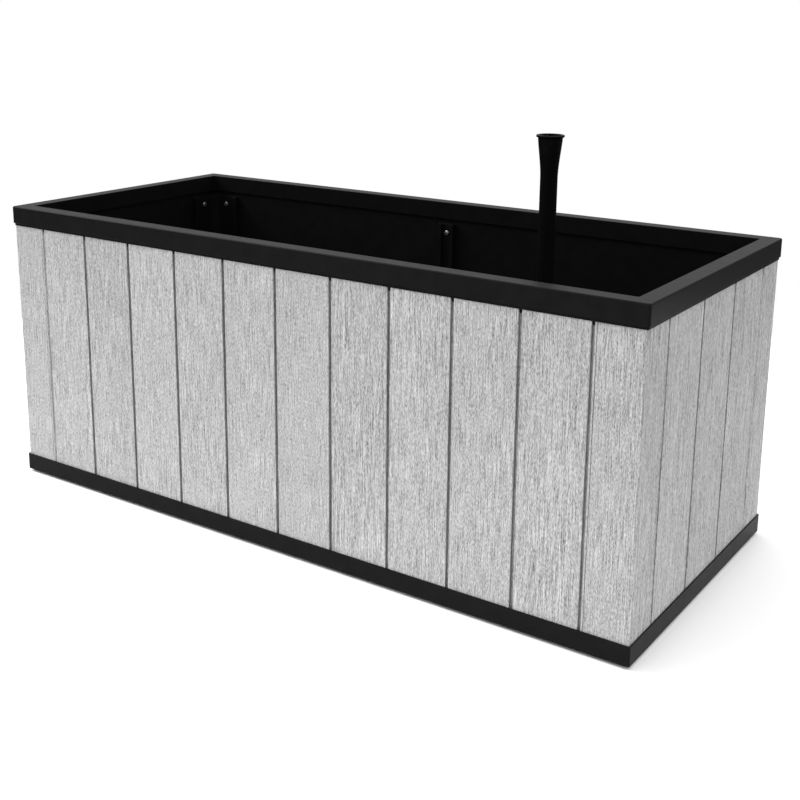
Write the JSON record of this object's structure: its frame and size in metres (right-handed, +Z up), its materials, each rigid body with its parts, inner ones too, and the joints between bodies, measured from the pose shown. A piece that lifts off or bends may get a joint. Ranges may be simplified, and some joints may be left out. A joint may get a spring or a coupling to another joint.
{
  "type": "self-watering box planter",
  "caption": "Floor-standing rectangular box planter clad in vertical grain boards, with a rim, base tray, water reservoir, wick baskets, drain plug and lift-out fill tube.",
  "frame": {"origin": "on the floor under the middle of the box", "axes": "+X along the long walls to the box's right, +Y from the front wall to the back, +Z up"},
  "size_m": [1.1964, 0.5244, 0.663],
  "materials": {
    "board": "light grey brushed wood-grain composite, matt",
    "moulding": "black moulded plastic, fine texture, satin",
    "inner_panel": "black moulded plastic, matt",
    "reservoir": "black moulded plastic, matt",
    "tube": "black moulded plastic, satin",
    "rubber": "black rubber, matt"
  },
  "bodies": {
    "planter_box": {"base_tray": "moulding", "top_rim": "moulding", "front_board_1": "board", "front_board_2": "board", "front_board_3": "board", "front_board_4": "board", "front_board_5": "board", "front_board_6": "board", "front_board_7": "board", "front_board_8": "board", "front_board_9": "board", "front_board_10": "board", "right_board_1": "board", "right_board_2": "board", "right_board_3": "board", "back_board_1": "board", "back_board_2": "board", "back_board_3": "board", "back_board_4": "board", "back_board_5": "board", "back_board_6": "board", "back_board_7": "board", "back_board_8": "board", "back_board_9": "board", "back_board_10": "board", "left_board_1": "board", "left_board_2": "board", "left_board_3": "board", "corner_board_front_right": "board", "corner_board_back_right": "board", "corner_board_back_left": "board", "corner_board_front_left": "board", "inner_panel_front_left": "inner_panel", "inner_panel_front_right": "inner_panel", "inner_panel_back_left": "inner_panel", "inner_panel_back_right": "inner_panel", "inner_panel_left": "inner_panel", "inner_panel_right": "inner_panel", "corner_post_front_right": "inner_panel", "corner_post_back_right": "inner_panel", "corner_post_back_left": "inner_panel", "corner_post_front_left": "inner_panel", "mid_post_front": "inner_panel", "mid_post_back": "inner_panel", "reservoir_platform_left": "reservoir", "reservoir_platform_right": "reservoir", "foot_front_left": "rubber", "foot_front_middle": "rubber", "foot_front_right": "rubber", "foot_back_left": "rubber", "foot_back_middle": "rubber", "foot_back_right": "rubber"},
    "fill_tube": {"fill_tube": "tube"},
    "wick_basket_left": {"wick_basket_left": "reservoir"},
    "wick_basket_right": {"wick_basket_right": "reservoir"},
    "drain_plug": {"drain_plug": "moulding", "drain_seal": "rubber"}
  },
  "joints": [
    {"name": "fill_tube_lift", "type": "slide", "parent": "planter_box", "child": "fill_tube", "axis": [0, 0, 1], "range_m": [0, 0.5]},
    {"name": "wick_basket_left_lift", "type": "slide", "parent": "planter_box", "child": "wick_basket_left", "axis": [0, 0, 1], "range_m": [0, 0.5]},
    {"name": "wick_basket_right_lift", "type": "slide", "parent": "planter_box", "child": "wick_basket_right", "axis": [0, 0, 1], "range_m": [0, 0.5]},
    {"name": "drain_plug_pull", "type": "slide", "parent": "planter_box", "child": "drain_plug", "axis": [0, 1, 0], "range_m": [0, 0.05]}
  ]
}
